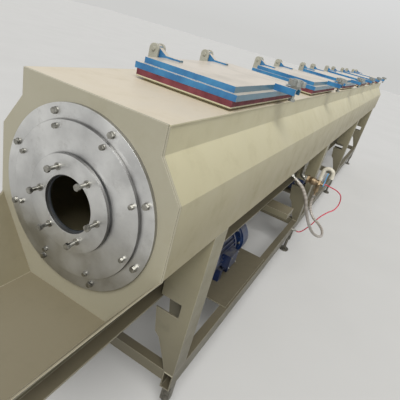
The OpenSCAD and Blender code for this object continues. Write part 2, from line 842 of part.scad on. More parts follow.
module valve_body() {
    color("#b08a4a") place() {
        on_valve(valve_in_y) rotate_extrude() polygon([
            [0, 0], [valve_pipe_r * 1.5, 0], [valve_pipe_r * 1.5, 14], [valve_pipe_r * 1.2, 18],
            [valve_ball_r * 0.9, valve_l * 0.3], [valve_ball_r, valve_l * 0.38],
            [valve_ball_r, valve_l * 0.52], [valve_ball_r * 0.9, valve_l * 0.6],
            [valve_pipe_r * 1.3, valve_l * 0.7],
            [valve_pipe_r * 1.5, valve_l * 0.72], [valve_pipe_r * 1.5, valve_l], [0, valve_l]]);
        translate([valve_x, tail_y, tail_z]) {
            cylinder(r = hose_r - 2, h = valve_z - tail_z);
            translate([0, 0, elbow_h - elbow_nut_h])
                cylinder(r = valve_pipe_r * 1.2, h = elbow_nut_h, $fn = 6);
            translate([0, 0, elbow_h]) cylinder(r = valve_pipe_r * 0.9, h = valve_z - tail_z - elbow_h);
        }
        on_valve(valve_out_y) cylinder(r = 9, h = stem_l - lever_t / 2 - lid_run);
        on_valve(valve_out_y) cylinder(r = stem_r, h = stem_l + 8);
        translate([valve_x, vent_y, valve_z]) cylinder(r = vent_r, h = vent_seat);
        translate([red_x, red_port_y, valve_z]) rotate([90, 0, 0]) nipple(red_r + 3, red_port_l);
        translate([valve_x, valve_out_y + 6, valve_z]) rotate([0, 90, 0])
            cylinder(r = 6, h = red_x - valve_x);
    }
}

// Return bend of the vent, from the valve body up and outwards
module valve_vent() {
    color("#dcdcd6") place() translate([valve_x, vent_y, valve_z + vent_seat]) {
        cylinder(r = vent_r + 3, h = 26, $fn = 6);
        cylinder(r = vent_r, h = 62);
        translate([0, -vent_bend, 62]) rotate([90, 0, 90])
            rotate_extrude(angle = 180) translate([vent_bend, 0]) circle(r = vent_r);
        translate([0, -2 * vent_bend, 40]) cylinder(r = vent_r, h = 22);
        translate([0, -2 * vent_bend, 34]) cylinder(r = vent_r + 3, h = 14, $fn = 6);
    }
}

// Lever on the valve's stem, pointing up while the valve is open
module valve_lever() {
    color("#4fa3d8") place() difference() {
        union() {
            on_valve(lever_y + lever_t / 2) cylinder(r = 13, h = lever_t);
            translate([valve_x - lever_w / 2, lever_y - lever_t / 2, valve_z])
                cube([lever_w, lever_t, lever_l]);
            translate([valve_x, lever_y + lever_t / 2, valve_z + lever_l]) rotate([90, 0, 0])
                cylinder(r = lever_w / 2, h = lever_t);
        }
        on_valve(lever_y + lever_t) cylinder(r = stem_r + pin_clear, h = 2 * lever_t);
    }
}

// Smooth route through hand-placed points
function spline(p, i, t) = let (
        a = p[max(i - 1, 0)], b = p[i], c = p[i + 1], d = p[min(i + 2, len(p) - 1)])
    0.5 * (2 * b + (c - a) * t + (2 * a - 5 * b + 4 * c - d) * t * t + (3 * b - a - 3 * c + d) * t * t * t);
function route(p, steps) = concat(
    [for (i = [0 : len(p) - 2], k = [0 : steps - 1]) spline(p, i, k / steps)], [p[len(p) - 1]]);

// Round tube along a route, its rings square to the route
function heading(p, i) = unit(p[min(i + 1, len(p) - 1)] - p[max(i - 1, 0)]);
module hose(points, r) {
    path = route(points, 4);
    sides = 10;
    rings = [for (i = [0 : len(path) - 1])
        let (h = i == 0 ? heading(points, 0) : i == len(path) - 1 ? heading(points, len(points) - 1)
                : heading(path, i),
            u = unit(cross(h, [0.9, 0.1, 0.42])), w = cross(h, u))
        [for (k = [0 : sides - 1]) path[i] + r * (cos(k * 360 / sides) * u + sin(k * 360 / sides) * w)]];
    last = len(rings) - 1;
    polyhedron(
        [for (ring = rings, p = ring) p],
        concat(
            [[for (k = [0 : sides - 1]) k]],
            [for (i = [0 : last - 1], k = [0 : sides - 1]) let (n = (k + 1) % sides)
                [i * sides + k, (i + 1) * sides + k, (i + 1) * sides + n, i * sides + n]],
            [[for (k = [sides - 1 : -1 : 0]) last * sides + k]]));
}

// The clear hose hangs in a loop from the valve's tail back to the nipple on the chamfer: each
// point has its share of the way, how far the hose swings out there and how far it hangs down
clear_swing = [
    [0.020, -21, -118], [0.046, -62, -164], [0.081, -115, -191], [0.142, -155, -220],
    [0.220, -174, -249], [0.301, -176, -262], [0.379, -169, -267], [0.452, -156, -264],
    [0.521, -144, -255], [0.587, -133, -240], [0.651, -126, -223], [0.716, -120, -206],
    [0.782, -116, -188], [0.846, -112, -169], [0.906, -106, -147], [0.958, -98, -117],
    [0.992, -84, -75]];
tail = [valve_x, tail_y, tail_z];
clear_lead = 59;
clear_points = concat(
    [tail, tail - [0, 0, clear_lead]],
    [for (p = clear_swing) tail + p[0] * (nipple_end - tail) + [0, p[1], p[2]]],
    [nipple_end + clear_lead * wall_normal, nipple_end]);

// The red hose makes a small loop beside the valve and goes down to the lower tube
red_start_y = red_port_y - red_port_l;
red_stop_y = -leg_out_y - red_nipple_l;
red_points = [
    [red_x, red_start_y, valve_z], [red_x, red_start_y - 12, valve_z],
    [red_x + 2, red_start_y - 30, valve_z - 1], [red_x + 20, -412, 660],
    [red_x + 60, -456, 640], [red_x + 96, -490, 606], [red_x + 112, -502, 560], [red_x + 104, -500, 520],
    [red_x + 70, -486, 494], [red_x + 34, -458, 474], [red_x + 16, -420, 420], [red_end_x, -386, 340],
    [red_end_x, -350, 274], [red_end_x, red_stop_y - 26, red_end_z],
    [red_end_x, red_stop_y - 10, red_end_z], [red_end_x, red_stop_y, red_end_z]];

module hose_clear() { color("#cfc9bd") place() hose(clear_points, hose_r); }
module hose_red() { color("#c23a3f") place() hose(red_points, red_r); }

tank_top();
tank_side_near();
tank_side_far();
tank_floor();
entry_plate();
exit_plate();
entry_ring();
entry_disc();
entry_clamp_ring();
entry_seal();
entry_bolts();
entry_studs();
exit_ring();
exit_disc();
exit_clamp_ring();
exit_seal();
exit_bolts();
exit_studs();
lid_gaskets();
hinge_posts();
tray();
rail_near();
rail_far();
legs_near();
legs_far();
tube_near();
tube_far();
cross_tubes();
deck_plates();
feet();
pump_1_motor();
pump_1_casing();
pump_2_motor();
pump_2_casing();
pump_pipes();
side_shelf();
valve_pipe();
valve_body();
valve_vent();
valve_lever();
hose_clear();
hose_red();
lid_1();
lid_2();
lid_3();
lid_4();
lid_5();
lid_6();
lid_1_knob();
lid_2_knob();
lid_3_knob();
lid_4_knob();
lid_5_knob();
lid_6_knob();
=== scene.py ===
import json
import math

import bmesh
import bpy
from mathutils import Matrix, Vector


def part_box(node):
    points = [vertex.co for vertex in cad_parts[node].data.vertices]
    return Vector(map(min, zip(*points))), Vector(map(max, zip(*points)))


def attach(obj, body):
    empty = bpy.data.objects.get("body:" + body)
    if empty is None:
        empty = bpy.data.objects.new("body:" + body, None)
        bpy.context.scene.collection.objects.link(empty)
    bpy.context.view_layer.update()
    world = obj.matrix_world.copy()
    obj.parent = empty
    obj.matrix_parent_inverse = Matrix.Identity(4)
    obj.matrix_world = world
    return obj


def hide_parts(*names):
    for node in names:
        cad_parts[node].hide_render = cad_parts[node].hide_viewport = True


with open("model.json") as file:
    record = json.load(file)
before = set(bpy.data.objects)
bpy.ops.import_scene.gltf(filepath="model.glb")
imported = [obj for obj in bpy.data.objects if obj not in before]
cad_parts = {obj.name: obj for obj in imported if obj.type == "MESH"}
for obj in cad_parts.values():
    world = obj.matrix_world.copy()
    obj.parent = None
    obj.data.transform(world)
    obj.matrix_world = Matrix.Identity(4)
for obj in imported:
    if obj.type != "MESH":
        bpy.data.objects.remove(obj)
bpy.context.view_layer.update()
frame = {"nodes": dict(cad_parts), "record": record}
nodes = frame["nodes"]

# The tank's own origin: entry end, middle of the floor sheet, on the factory floor
floorLow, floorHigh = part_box("tank_floor")
tankZero = Vector((floorLow.x, (floorLow.y + floorHigh.y) / 2, 0))


def atTank(x, y, z):  # millimetres from the tank's own origin, as metres in the frame
    return tankZero + Vector((x, y, z)) / 1000


def fromTank(point):  # a place in the frame as millimetres from the tank's own origin
    return (point - tankZero) * 1000


# Camera: stands by the entry end, head high, held at a slant
camera = {
    "place": (-637, -580, 1469),
    "yaw": 22.58,
    "pitch": -25.06,
    "roll": 15.33,
    "focalPixels": 374.2,
    "imagePixels": 400,
}


def makeCamera():
    yaw, pitch, roll = (math.radians(camera[k]) for k in ("yaw", "pitch", "roll"))
    forward = Vector((math.cos(pitch) * math.cos(yaw), math.cos(pitch) * math.sin(yaw), math.sin(pitch)))
    level = Vector((math.sin(yaw), -math.cos(yaw), 0))
    upright = level.cross(forward)
    right = math.cos(roll) * level + math.sin(roll) * upright
    up = math.cos(roll) * upright - math.sin(roll) * level
    data = bpy.data.cameras.new("camera")
    data.lens = camera["focalPixels"] * data.sensor_width / camera["imagePixels"]
    data.clip_end = 60
    view = bpy.data.objects.new("camera", data)
    turn = Matrix((right, up, -forward)).transposed()
    view.matrix_world = Matrix.Translation(atTank(*camera["place"])) @ turn.to_4x4()
    bpy.context.scene.collection.objects.link(view)
    bpy.context.scene.camera = view


makeCamera()
print("camera placed")


# Materials

def toLinear(code):  # "#rrggbb" as linear colour
    parts = [int(code[i:i + 2], 16) / 255 for i in (1, 3, 5)]
    return tuple(c / 12.92 if c <= 0.04045 else ((c + 0.055) / 1.055) ** 2.4 for c in parts) + (1.0,)


def perMetre(millimetres):  # pattern scale that gives one feature each so many millimetres
    return 1000 / millimetres


def addNode(tree, kind, settings=None, **links):
    node = tree.nodes.new(kind)
    for name, value in (settings or {}).items():
        if name in node.inputs and not hasattr(type(node), name):
            node.inputs[name].default_value = value
        elif hasattr(node, name):
            setattr(node, name, value)
        else:
            node.inputs[int(name)].default_value = value
    for name, source in links.items():
        slot = name.replace("_", " ")
        numbered = slot.startswith("in") and slot[2:].isdigit()
        tree.links.new(source, node.inputs[int(slot[2:]) if numbered else slot])
    return node


def newMaterial(name, **settings):
    material = bpy.data.materials.new(name)
    material.use_nodes = True
    tree = material.node_tree
    shader = tree.nodes["Principled BSDF"]
    for key, value in settings.items():
        shader.inputs[key.replace("_", " ")].default_value = value
    return material, tree, shader


def rampOf(tree, source, stops):  # colour ramp through (position, hex) stops
    ramp = addNode(tree, "ShaderNodeValToRGB", {}, Fac=source)
    bands = ramp.color_ramp.elements
    while len(bands) < len(stops):
        bands.new(0.5)
    for band, (place, code) in zip(bands, stops):
        band.position = place
        band.color = toLinear(code)
    return ramp.outputs["Color"]


def mixColours(tree, factor, first, second, blend="MIX"):
    node = addNode(tree, "ShaderNodeMix", {"data_type": "RGBA", "blend_type": blend})
    for socket, value in ((node.inputs[0], factor), (node.inputs[6], first), (node.inputs[7], second)):
        if isinstance(value, str):
            socket.default_value = toLinear(value)
        elif isinstance(value, (int, float)):
            socket.default_value = value
        else:
            tree.links.new(value, socket)
    return node.outputs[2]


def grainOf(tree, millimetres, detail=3.0, stretch=(1, 1, 1), rough=0.55):  # soft noise of that size
    where = addNode(tree, "ShaderNodeTexCoord")
    fit = addNode(tree, "ShaderNodeMapping", {"Scale": stretch}, Vector=where.outputs["Object"])
    noise = addNode(tree, "ShaderNodeTexNoise",
                    {"Scale": perMetre(millimetres), "Detail": detail, "Roughness": rough},
                    Vector=fit.outputs["Vector"])
    return noise.outputs["Fac"]


def between(tree, value, low, high, toLow=0.0, toHigh=1.0):
    node = addNode(tree, "ShaderNodeMapRange",
                   {"From Min": low, "From Max": high, "To Min": toLow, "To Max": toHigh}, Value=value)
    return node.outputs["Result"]


def softNormalOf(tree, millimetres):  # normal rounded over edges
    return addNode(tree, "ShaderNodeBevel", {"Radius": millimetres / 1000, "samples": 4}).outputs["Normal"]


def edgeMask(tree, softNormal):  # 1 on edges, 0 on flats
    sharp = addNode(tree, "ShaderNodeNewGeometry")
    dot = addNode(tree, "ShaderNodeVectorMath", {"operation": "DOT_PRODUCT"},
                  in0=softNormal, in1=sharp.outputs["Normal"])
    return between(tree, dot.outputs["Value"], 0.995, 0.86)


def setColour(tree, shader, colour):
    tree.links.new(colour, shader.inputs["Base Color"])


def setRoughness(tree, shader, grain, smooth, rough):
    tree.links.new(between(tree, grain, 0.3, 0.7, smooth, rough), shader.inputs["Roughness"])


def bumpOf(tree, shader, height, millimetres, strength=0.4, normal=None):
    bump = addNode(tree, "ShaderNodeBump",
                   {"Distance": millimetres / 1000, "Strength": strength}, Height=height)
    if normal is not None:
        tree.links.new(normal, bump.inputs["Normal"])
    tree.links.new(bump.outputs["Normal"], shader.inputs["Normal"])


creamLook = {
    "paint": "#c3bc9a", "pale": "#cbc4a3", "dust": "#d3c7b2", "grimeAndShade": "#8d8363", "worn": "#e0d9c2",
    "cloud": 420, "dirt": 90, "peel": 5, "sag": 260, "edge": 2.5,  # sizes in millimetres
    "dustCover": 0.9, "spotCover": 0.2, "wornCover": 0.5, "sagDepth": 10.0,
    "low": 0.75, "lowFrom": 1.2, "lowTo": 0.98,  # how far it darkens, and between which heights in metres
}


def creamStoveEnamel(name="creamStoveEnamel", changes=None):
    # Sprayed cream enamel on folded steel sheet: a soft gloss with a fine orange peel, beige dust on what
    # faces up, folds rubbed pale, and a slow waviness of the sheet. The darker tone low down is partly
    # grime and partly the shade that the real one stands in, because the stage is lit more evenly
    look = {**creamLook, **(changes or {})}
    material, tree, shader = newMaterial(name, Roughness=0.42, IOR=1.5)
    where = addNode(tree, "ShaderNodeTexCoord")
    facing = addNode(tree, "ShaderNodeSeparateXYZ", {}, Vector=where.outputs["Normal"])
    place = addNode(tree, "ShaderNodeSeparateXYZ", {}, Vector=where.outputs["Object"])
    colour = rampOf(tree, grainOf(tree, look["cloud"], 4), ((0.3, look["paint"]), (0.7, look["pale"])))
    dusty = between(tree, facing.outputs["Z"], 0.65, 0.95, 0, look["dustCover"])
    colour = mixColours(tree, dusty, colour, look["dust"])
    # Darker towards the bottom as painted shade mixed with grime, and darker in scattered dirt spots
    low = between(tree, place.outputs["Z"], look["lowFrom"], look["lowTo"], 0.0, look["low"])
    spots = between(tree, grainOf(tree, look["dirt"], 6, rough=0.7), 0.52, 0.8, 0, look["spotCover"])
    grimeAndShadeMask = addNode(tree, "ShaderNodeMath", {"operation": "ADD", "use_clamp": True}, in0=low, in1=spots)
    colour = mixColours(tree, grimeAndShadeMask.outputs[0], colour, look["grimeAndShade"])
    softNormal = softNormalOf(tree, look["edge"])
    edges = edgeMask(tree, softNormal)
    colour = mixColours(tree, between(tree, edges, 0, 1, 0, look["wornCover"]), colour, look["worn"])
    setColour(tree, shader, colour)
    setRoughness(tree, shader, grainOf(tree, look["dirt"], 4), 0.36, 0.52)
    sag = addNode(tree, "ShaderNodeMath", {"operation": "MULTIPLY_ADD", "1": look["sagDepth"]},
                  in0=grainOf(tree, look["sag"], 1), in2=grainOf(tree, look["peel"], 2))
    bumpOf(tree, shader, sag.outputs[0], 0.25, 0.3, softNormal)
    return material


lidLook = {
    "blue": "#4189b6", "deep": "#286497", "dull": "#5b797f", "dullCover": 0.75,
    "top": "#cfc4b4", "ledge": "#b3a998", "chip": "#c9c2ad",
    "blueCloud": 60, "creamCloud": 150, "chipSize": 16, "peel": 5, "edge": 1.8,  # millimetres
}


def lidEnamel():
    # Blue enamel on the lids' upright rims, cream enamel on their level tops and undersides, rubbed at the
    # edges. The near faces are duller, which stands for the shade they are in
    look = lidLook
    material, tree, shader = newMaterial("blueAndCreamEnamel", Roughness=0.34, IOR=1.5, Coat_Weight=0.15)
    where = addNode(tree, "ShaderNodeTexCoord")
    facing = addNode(tree, "ShaderNodeSeparateXYZ", {}, Vector=where.outputs["Normal"])
    flat = addNode(tree, "ShaderNodeMath", {"operation": "ABSOLUTE"}, in0=facing.outputs["Z"])
    level = between(tree, flat.outputs[0], 0.6, 0.8)
    blue = rampOf(tree, grainOf(tree, look["blueCloud"], 4), ((0.3, look["deep"]), (0.7, look["blue"])))
    pale = rampOf(tree, grainOf(tree, look["creamCloud"], 5), ((0.3, look["ledge"]), (0.55, look["top"])))
    nearFace = between(tree, facing.outputs["Y"], -0.5, -0.9, 0, look["dullCover"])
    colour = mixColours(tree, level, mixColours(tree, nearFace, blue, look["dull"]), pale)
    softNormal = softNormalOf(tree, look["edge"])
    edges = edgeMask(tree, softNormal)
    chips = addNode(tree, "ShaderNodeMath", {"operation": "MULTIPLY"}, in0=edges,
                    in1=between(tree, grainOf(tree, look["chipSize"], 5), 0.5, 0.62))
    colour = mixColours(tree, chips.outputs[0], colour, look["chip"])
    setColour(tree, shader, colour)
    bumpOf(tree, shader, grainOf(tree, look["peel"], 2), 0.2, 0.25, softNormal)
    return material


def siliconeSponge():
    # Red-brown silicone sponge strip: dull, slightly mottled, with fine closed pores
    material, tree, shader = newMaterial("redSiliconeSponge", Roughness=0.72, IOR=1.41)
    setColour(tree, shader, rampOf(tree, grainOf(tree, 45, 4), ((0.3, "#5f2a31"), (0.7, "#82434a"))))
    bumpOf(tree, shader, grainOf(tree, 2.5, 3), 0.4, 0.5)
    return material


aluminiumLook = {
    "dull": "#c2c2c1", "bright": "#ececea", "smudge": "#a3a09a", "smudgeCover": 0.4,
    "rings": 5, "cloud": 120, "smudgeSize": 35, "edge": 1.2,  # millimetres
    "shade": "#85847f", "shadeCover": 0.45, "shadeFrom": 1.08, "shadeTo": 0.8,  # heights in metres
    "rim": "#66635e", "rimCover": 0.5,
    "cornerGrimeAndShade": "#3d3b38", "cornerGrimeAndShadeCover": 0.5, "cornerGrimeAndShadeWidth": 0.004, "cornerGrimeAndShadeStep": 0.0005,  # widths in metres
}


def turnedAluminium():
    # Faced aluminium plate: lathe rings round the pipe line, drawn coarse at 5 mm so that they show, greyed
    # by handling. Its lower half and its rims are darker, as much for shade on the real one as for dirt
    look = aluminiumLook
    material, tree, shader = newMaterial("turnedAluminium", Metallic=1.0, Roughness=0.4)
    where = addNode(tree, "ShaderNodeTexCoord")
    centre = (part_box("entry_ring")[0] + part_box("entry_ring")[1]) / 2
    fit = addNode(tree, "ShaderNodeMapping",
                  {"Location": (0, -centre.y, -centre.z), "Scale": (0, 1, 1)}, Vector=where.outputs["Object"])
    fromCentre = addNode(tree, "ShaderNodeVectorMath", {"operation": "LENGTH"}, in0=fit.outputs["Vector"])
    reach = fromCentre.outputs["Value"]
    turns = addNode(tree, "ShaderNodeMath",
                    {"operation": "MULTIPLY", "1": perMetre(look["rings"]) * 2 * math.pi}, in0=reach)
    wave = addNode(tree, "ShaderNodeMath", {"operation": "SINE"}, in0=turns.outputs[0])
    colour = rampOf(tree, grainOf(tree, look["cloud"], 5), ((0.3, look["dull"]), (0.7, look["bright"])))
    handled = grainOf(tree, look["smudgeSize"], 6, rough=0.7)
    smudge = between(tree, handled, 0.55, 0.75, 0, look["smudgeCover"])
    colour = mixColours(tree, smudge, colour, look["smudge"])
    place = addNode(tree, "ShaderNodeSeparateXYZ", {}, Vector=where.outputs["Object"])
    shade = between(tree, place.outputs["Z"], look["shadeFrom"], look["shadeTo"], 0, look["shadeCover"])
    colour = mixColours(tree, shade, colour, look["shade"])
    facing = addNode(tree, "ShaderNodeSeparateXYZ", {}, Vector=where.outputs["Normal"])
    flat = addNode(tree, "ShaderNodeMath", {"operation": "ABSOLUTE"}, in0=facing.outputs["X"])
    onRim = between(tree, flat.outputs[0], 0.9, 0.4, 0, look["rimCover"])
    colour = mixColours(tree, onRim, colour, look["rim"])
    for step in ("disc", "clamp_ring"):  # grime and painted shade darken the corner where one disc stands on the next
        low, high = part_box("entry_" + step)
        rim = (high.y - low.y) / 2
        cornerGrimeAndShade = between(tree, reach, rim + look["cornerGrimeAndShadeWidth"], rim, 0, look["cornerGrimeAndShadeCover"])
        outside = between(tree, reach, rim - look["cornerGrimeAndShadeStep"], rim, 0, 1)
        line = addNode(tree, "ShaderNodeMath", {"operation": "MULTIPLY"}, in0=cornerGrimeAndShade, in1=outside)
        colour = mixColours(tree, line.outputs[0], colour, look["cornerGrimeAndShade"])
    setColour(tree, shader, colour)
    setRoughness(tree, shader, grainOf(tree, 60, 4), 0.34, 0.5)
    bumpOf(tree, shader, wave.outputs[0], 0.08, 0.3, softNormalOf(tree, look["edge"]))
    return material


def zincPlatedSteel(name="zincPlatedSteel", tone=("#6f6d66", "#b3b1a9"), rough=0.36):
    # Zinc plated steel, and the bare castings and feet near it: satin grey, darker where grime has settled
    material, tree, shader = newMaterial(name, Metallic=1.0, Roughness=rough)
    setColour(tree, shader, rampOf(tree, grainOf(tree, 14, 4), ((0.3, tone[0]), (0.7, tone[1]))))
    bumpOf(tree, shader, grainOf(tree, 2, 2), 0.1, 0.3, softNormalOf(tree, 0.8))
    return material


def nitrileRubber():
    # Black rubber seal sheet: matt and a little dusty
    material, tree, shader = newMaterial("blackRubberSheet", Roughness=0.7, IOR=1.52)
    setColour(tree, shader, rampOf(tree, grainOf(tree, 25, 5), ((0.35, "#1b1d20"), (0.75, "#32363a"))))
    bumpOf(tree, shader, grainOf(tree, 1.5, 2), 0.15, 0.3)
    return material


def blueMachineEnamel(name, deep, bright):
    # Thick dark blue enamel on castings, darkened further as painted shade under the tank: glossy, with
    # sand-cast lumps under the paint and grey dust on the faces that look up
    material, tree, shader = newMaterial(name, Roughness=0.36, IOR=1.5, Coat_Weight=0.2)
    colour = rampOf(tree, grainOf(tree, 70, 4), ((0.3, deep), (0.7, bright)))
    where = addNode(tree, "ShaderNodeTexCoord")
    facing = addNode(tree, "ShaderNodeSeparateXYZ", {}, Vector=where.outputs["Normal"])
    dust = addNode(tree, "ShaderNodeMath", {"operation": "MULTIPLY"},
                   in0=between(tree, facing.outputs["Z"], 0.3, 1.0, 0, 0.4),
                   in1=between(tree, grainOf(tree, 40, 5), 0.35, 0.65))
    colour = mixColours(tree, dust.outputs[0], colour, "#8a8678")
    setColour(tree, shader, colour)
    bumpOf(tree, shader, grainOf(tree, 6, 3), 0.5, 0.35, softNormalOf(tree, 2))
    return material


def greyPipe():
    # Grey extruded pipe: even, satin, with faint draw lines
    material, tree, shader = newMaterial("greyExtrudedPipe", Roughness=0.45, IOR=1.53)
    setColour(tree, shader, rampOf(tree, grainOf(tree, 90, 4), ((0.3, "#8b9091"), (0.7, "#a7abab"))))
    bumpOf(tree, shader, grainOf(tree, 6, 2, (1, 1, 0.1)), 0.1, 0.2)
    return material


def pressedBrass():
    # Hot-pressed brass fitting: yellow-brown with a dull skin
    material, tree, shader = newMaterial("pressedBrass", Metallic=1.0, Roughness=0.5)
    setColour(tree, shader, rampOf(tree, grainOf(tree, 12, 4), ((0.3, "#7a6853"), (0.7, "#aa977a"))))
    bumpOf(tree, shader, grainOf(tree, 2, 2), 0.15, 0.3, softNormalOf(tree, 1))
    return material


def whiteMoulding():
    # White moulded plastic fitting, slightly yellowed
    material, tree, shader = newMaterial("whiteMouldedFitting", Roughness=0.4, IOR=1.49)
    setColour(tree, shader, rampOf(tree, grainOf(tree, 30, 3), ((0.3, "#c3bdac"), (0.7, "#dfdacb"))))
    bumpOf(tree, shader, grainOf(tree, 3, 2), 0.1, 0.2)
    return material


def dippedVinyl():
    # Light blue vinyl dipped over a steel lever
    material, tree, shader = newMaterial("dippedBlueVinyl", Roughness=0.4, IOR=1.5)
    setColour(tree, shader, rampOf(tree, grainOf(tree, 20, 3), ((0.3, "#3e92cc"), (0.7, "#66b1e0"))))
    bumpOf(tree, shader, grainOf(tree, 4, 2), 0.2, 0.3)
    return material


def braidedHose():
    # Clear hose gone grey, with a crossed braid that is drawn at 7 mm so that it shows
    material, tree, shader = newMaterial("greyedClearHose", Roughness=0.35, IOR=1.53, Coat_Weight=0.3)
    where = addNode(tree, "ShaderNodeTexCoord")
    braid = addNode(tree, "ShaderNodeTexWave",
                    {"Scale": perMetre(7) / 6, "Distortion": 1.0, "bands_direction": "DIAGONAL"},
                    Vector=where.outputs["Object"])
    colour = rampOf(tree, braid.outputs["Fac"], ((0.3, "#948c82"), (0.7, "#aba399")))
    stain = between(tree, grainOf(tree, 60, 3), 0.4, 0.7, 0, 0.3)
    setColour(tree, shader, mixColours(tree, stain, colour, "#756d62"))
    bumpOf(tree, shader, braid.outputs["Fac"], 0.3, 0.3)
    return material


def airHose():
    # Red polyurethane air hose: smooth and glossy
    material, tree, shader = newMaterial("redAirHose", Roughness=0.3, IOR=1.5, Coat_Weight=0.2)
    setColour(tree, shader, rampOf(tree, grainOf(tree, 40, 3), ((0.3, "#b02236"), (0.7, "#d8405a"))))
    return material


cream = creamStoveEnamel()
# The same cream where the real one looks darker: part of each darker tone stands for shade, not for dirt
plateCream = creamStoveEnamel("creamPlateEnamel", {
    "paint": "#9e9984", "pale": "#a9a491", "dust": "#9e9984", "low": 0.1})
trayCream = creamStoveEnamel("creamTrayEnamel", {
    "paint": "#958d74", "pale": "#a1997f", "dust": "#857d68", "grimeAndShade": "#6f6751", "cloud": 160, "low": 0.5})
earCream = creamStoveEnamel("greyedHingeEnamel", {
    "paint": "#a19f90", "pale": "#b0ae9f", "dust": "#a09d90", "cloud": 40, "low": 0})
frameCream = creamStoveEnamel("creamFrameEnamel", {
    "paint": "#857f67", "pale": "#938d74", "dust": "#827a66", "grimeAndShade": "#4d4737", "cloud": 260,
    "low": 0.85, "lowFrom": 0.85, "lowTo": 0.2})
finish = {
    "tank_paint": cream, "frame_paint": frameCream, "deck_paint": frameCream, "hinge_steel": earCream,
    "lid_enamel": lidEnamel(), "gasket_silicone": siliconeSponge(), "flange_aluminium": turnedAluminium(),
    "zinc_steel": zincPlatedSteel(), "seal_rubber": nitrileRubber(),
    "knob_iron": zincPlatedSteel("greyCastKnob", ("#8b8e8a", "#b7b9b4"), 0.5),
    "foot_steel": zincPlatedSteel("plainSteelFoot", ("#54514a", "#8a877d"), 0.5),
    "motor_paint": blueMachineEnamel("motorBlueEnamel", "#0d1936", "#182a52"),
    "pump_paint": blueMachineEnamel("pumpBlueEnamel", "#0f1f3e", "#1d3560"),
    "pipe_pvc": greyPipe(), "valve_brass": pressedBrass(), "vent_plastic": whiteMoulding(),
    "lever_paint": dippedVinyl(), "hose_pvc": braidedHose(), "hose_red_pu": airHose(),
}
byNode = {"entry_plate": plateCream, "exit_plate": plateCream, "tray": trayCream}
for part in frame["record"]["subparts"]:
    mesh = nodes[part["node"]].data
    mesh.materials.clear()
    mesh.materials.append(byNode.get(part["node"], finish[part["material_slot"]]))
print("materials set on", len(nodes), "nodes")


# Hoses: both leave the drain valve and go back into the machine

leverLow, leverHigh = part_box("valve_lever")
valveX = ((leverLow.x + leverHigh.x) / 2 - tankZero.x) * 1000
wallNormal = Vector((0, -0.859, -0.512))
nippleEnd = Vector((valveX - 710, -279.7, 865.7))
hoseTail = Vector((valveX, -330, 582))
clearHose = {
    "diameter": 18,
    "lead": 59,
    # share of the way to the nipple, how far it swings out there, how far it hangs down
    "swing": (
        (0.020, -21, -118), (0.046, -62, -164), (0.081, -115, -191), (0.142, -155, -220),
        (0.220, -174, -249), (0.301, -176, -262), (0.379, -169, -267), (0.452, -156, -264),
        (0.521, -144, -255), (0.587, -133, -240), (0.651, -126, -223), (0.716, -120, -206),
        (0.782, -116, -188), (0.846, -112, -169), (0.906, -106, -147), (0.958, -98, -117),
        (0.992, -84, -75),
    ),
}
clearHose["points"] = [hoseTail, hoseTail - Vector((0, 0, clearHose["lead"]))]
for share, out, down in clearHose["swing"]:
    clearHose["points"].append(hoseTail.lerp(nippleEnd, share) + Vector((0, out, down)))
clearHose["points"] += [nippleEnd + clearHose["lead"] * wallNormal, nippleEnd]
redX = valveX + 27
redHose = {
    "diameter": 8,
    "points": [
        (redX, -352, 670), (redX, -364, 670), (redX + 2, -382, 669), (redX + 20, -412, 660),
        (redX + 60, -456, 640), (redX + 96, -490, 606), (redX + 112, -502, 560), (redX + 104, -500, 520),
        (redX + 70, -486, 494), (redX + 34, -458, 474), (redX + 16, -420, 420), (redX + 12, -386, 340),
        (redX + 12, -350, 274), (redX + 12, -325, 250), (redX + 12, -309, 250), (redX + 12, -299, 250),
    ],
}


def curveThrough(name, points, diameter):  # same smooth route as in the part
    data = bpy.data.curves.new(name, "CURVE")
    data.dimensions = "3D"
    data.bevel_depth = diameter / 2000
    data.bevel_resolution = 4
    data.resolution_u = 8
    data.use_fill_caps = True
    line = data.splines.new("BEZIER")
    line.bezier_points.add(len(points) - 1)
    for i, knot in enumerate(line.bezier_points):
        here = points[i]
        before, after = points[max(i - 1, 0)], points[min(i + 1, len(points) - 1)]
        lean = (after - before) / 6  # gives the curve that passes straight through every knot
        knot.co = here
        knot.handle_left, knot.handle_right = here - lean, here + lean
    piece = bpy.data.objects.new(name, data)
    bpy.context.scene.collection.objects.link(piece)
    return piece


def makeHose(name, node, look, slot):
    points = [atTank(*p) for p in look["points"]]
    hose = curveThrough(name, points, look["diameter"])
    hose.data.materials.append(finish[slot])
    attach(hose, "tank")
    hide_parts(node)


makeHose("clear_hose", "hose_clear", clearHose, "hose_pvc")
makeHose("red_hose", "hose_red", redHose, "hose_red_pu")


# Small pieces in mesh code

def frameAlong(axis):  # turn that lays local Z on the axis
    return Vector(axis).to_track_quat("Z", "Y").to_matrix().to_4x4()


def addLathe(shape, centre, axis, profile, sides=32):  # (radius, along) pairs in mm, turned round the axis
    place = Matrix.Translation(atTank(*centre)) @ frameAlong(axis)
    rings = []
    for radius, along in profile:
        ring = []
        for k in range(sides):
            turn = 2 * math.pi * k / sides
            spot = Vector((math.cos(turn) * radius, math.sin(turn) * radius, along)) / 1000
            ring.append(shape.verts.new(place @ spot))
        rings.append(ring)
    for low, high in zip(rings, rings[1:]):
        for k in range(sides):
            n = (k + 1) % sides
            shape.faces.new((low[k], low[n], high[n], high[k]))
    shape.faces.new(list(reversed(rings[0])))
    shape.faces.new(rings[-1])


def addHexHead(shape, centre, axis, across, height):  # chamfered hexagon head on a round washer face
    radius = across / math.sqrt(3)
    face, washer, chamfer = across * 0.6, 1.2, 1.5
    addLathe(shape, centre, axis, ((face, 0), (face, washer)), 24)
    addLathe(shape, centre, axis, ((radius, washer), (radius, height - chamfer), (radius * 0.82, height)), 6)


